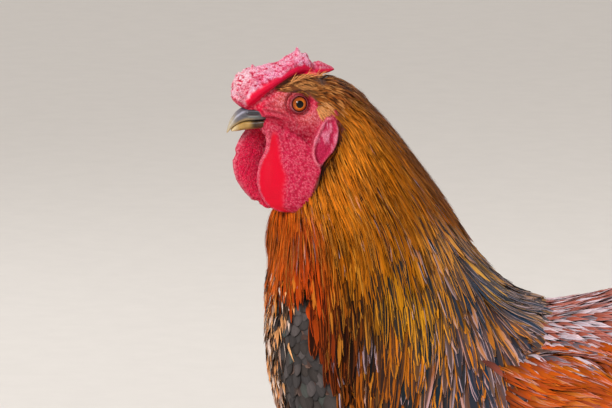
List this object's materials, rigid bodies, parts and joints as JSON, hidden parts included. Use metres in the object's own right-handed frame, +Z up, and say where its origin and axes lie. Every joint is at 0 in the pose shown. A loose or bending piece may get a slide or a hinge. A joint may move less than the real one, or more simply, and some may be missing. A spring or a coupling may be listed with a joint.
{
  "type": "rooster",
  "caption": "Life-size standing rose-combed cock with gold and rust hackles, slate breast, black sickle tail and yellow legs; a still museum-style model.",
  "frame": {"origin": "on the floor, at the centre of the bird's bounding box seen from above", "axes": "+Z up, -Y the way the bird faces, +X the bird's left side"},
  "size_m": [0.1974, 0.473, 0.4988],
  "materials": {
    "comb_skin": "moist bare skin, granular",
    "face_skin": "bare skin, finely granular",
    "earlobe_skin": "bare skin, smooth",
    "ear_tuft": "short bristly feathers",
    "beak_horn": "horn, worn and slightly glossy",
    "eye_orange": "wet and clear",
    "hackle_gold": "glossy narrow feathers",
    "breast_slate": "soft rounded feathers",
    "wing_red": "glossy firm feathers",
    "tail_black": "glossy feathers with a green sheen",
    "thigh_slate": "fluffy feathers",
    "leg_yellow": "scaly skin",
    "claw_horn": "horn, satin"
  },
  "bodies": {
    "root": {"head": "face_skin", "beak_upper": "beak_horn", "beak_lower": "beak_horn", "comb": "comb_skin", "neck": "hackle_gold", "trunk": "breast_slate", "tail": "tail_black", "eye_left": "eye_orange", "ear_left": "ear_tuft", "earlobe_left": "earlobe_skin", "wattle_left": "comb_skin", "wing_left": "wing_red", "sickle_left": "tail_black", "thigh_left": "thigh_slate", "shank_left": "leg_yellow", "spur_left": "claw_horn", "foot_left": "leg_yellow", "toe_left_inner": "leg_yellow", "claw_left_inner": "claw_horn", "toe_left_middle": "leg_yellow", "claw_left_middle": "claw_horn", "toe_left_outer": "leg_yellow", "claw_left_outer": "claw_horn", "toe_left_hind": "leg_yellow", "claw_left_hind": "claw_horn", "eye_right": "eye_orange", "ear_right": "ear_tuft", "earlobe_right": "earlobe_skin", "wattle_right": "comb_skin", "wing_right": "wing_red", "sickle_right": "tail_black", "thigh_right": "thigh_slate", "shank_right": "leg_yellow", "spur_right": "claw_horn", "foot_right": "leg_yellow", "toe_right_inner": "leg_yellow", "claw_right_inner": "claw_horn", "toe_right_middle": "leg_yellow", "claw_right_middle": "claw_horn", "toe_right_outer": "leg_yellow", "claw_right_outer": "claw_horn", "toe_right_hind": "leg_yellow", "claw_right_hind": "claw_horn"}
  },
  "joints": []
}
